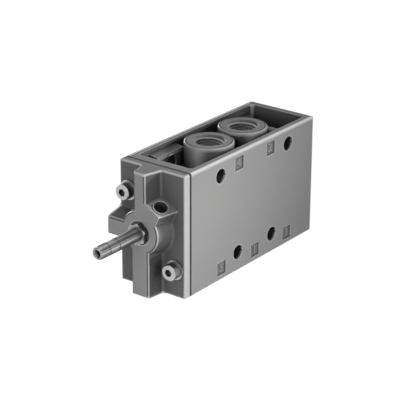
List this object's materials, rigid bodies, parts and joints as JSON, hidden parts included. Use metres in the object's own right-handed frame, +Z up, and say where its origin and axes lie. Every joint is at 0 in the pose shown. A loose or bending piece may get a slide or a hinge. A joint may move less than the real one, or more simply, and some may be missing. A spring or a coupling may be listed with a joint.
{
  "type": "solenoid valve",
  "caption": "Pilot-operated spool valve for compressed air: cast block with threaded ports and an open top tray, ribbed pilot head and bare armature tube that takes a coil.",
  "frame": {"origin": "on the axis of supply port 1, in the plane of the bottom face", "axes": "+X along the spool bore from the pilot head toward the closed rear end, +Z up out of the open top, +Y toward the face without number pads"},
  "size_m": [0.1277, 0.034, 0.055],
  "materials": {
    "die_cast_body": "matt silver grey coat on die-cast aluminium",
    "die_cast_head": "matt silver grey coat on die-cast aluminium",
    "gasket_rubber": "black nitrile",
    "seal_rubber": "greased black nitrile",
    "zinc_steel": "bright zinc plating",
    "turned_steel": "turned stainless steel",
    "spring_steel": "drawn stainless wire",
    "spool_aluminium": "ground and anodised",
    "cage_plastic": "natural acetal",
    "piston_plastic": "black acetal",
    "brass": "turned brass"
  },
  "bodies": {
    "valve_body": {"body_casting": "die_cast_body", "pilot_head": "die_cast_head", "head_gasket": "gasket_rubber", "head_screws": "zinc_steel", "screw_washers": "zinc_steel", "front_bush": "brass", "rear_bush": "brass", "cage_port_5": "cage_plastic", "cage_port_4": "cage_plastic", "cage_port_1": "cage_plastic", "cage_port_2": "cage_plastic", "cage_port_3": "cage_plastic", "seal_ring_1": "seal_rubber", "seal_ring_2": "seal_rubber", "seal_ring_3": "seal_rubber", "seal_ring_4": "seal_rubber", "seal_ring_5": "seal_rubber", "seal_ring_6": "seal_rubber", "return_spring": "spring_steel", "armature_tube": "turned_steel", "tube_seal": "seal_rubber", "fixed_core": "turned_steel", "armature_spring": "spring_steel", "pilot_nozzle": "brass", "override_pin": "zinc_steel"},
    "spool": {"spool": "spool_aluminium", "pilot_piston": "piston_plastic", "piston_seal": "seal_rubber"},
    "armature": {"armature": "turned_steel", "seat_disc": "seal_rubber", "exhaust_disc": "seal_rubber"},
    "override": {"override_spindle": "brass", "override_seal": "seal_rubber"}
  },
  "joints": [
    {"name": "spool_slide", "type": "slide", "parent": "valve_body", "child": "spool", "axis": [1, 0, 0], "range_m": [0, 0.0065], "stiffness_N_per_m": 600, "springref_m": -0.0133, "deforming": ["return_spring"]},
    {"name": "armature_slide", "type": "slide", "parent": "valve_body", "child": "armature", "axis": [-1, 0, 0], "range_m": [0, 0.0008], "stiffness_N_per_m": 500, "springref_m": -0.002, "deforming": ["armature_spring"]},
    {"name": "override_turn", "type": "hinge", "parent": "valve_body", "child": "override", "pos_m": [-0.05346, -0.0077, 0.04028], "axis": [-0.2588, -0.4756, 0.8407], "range_deg": [0, 90]}
  ]
}
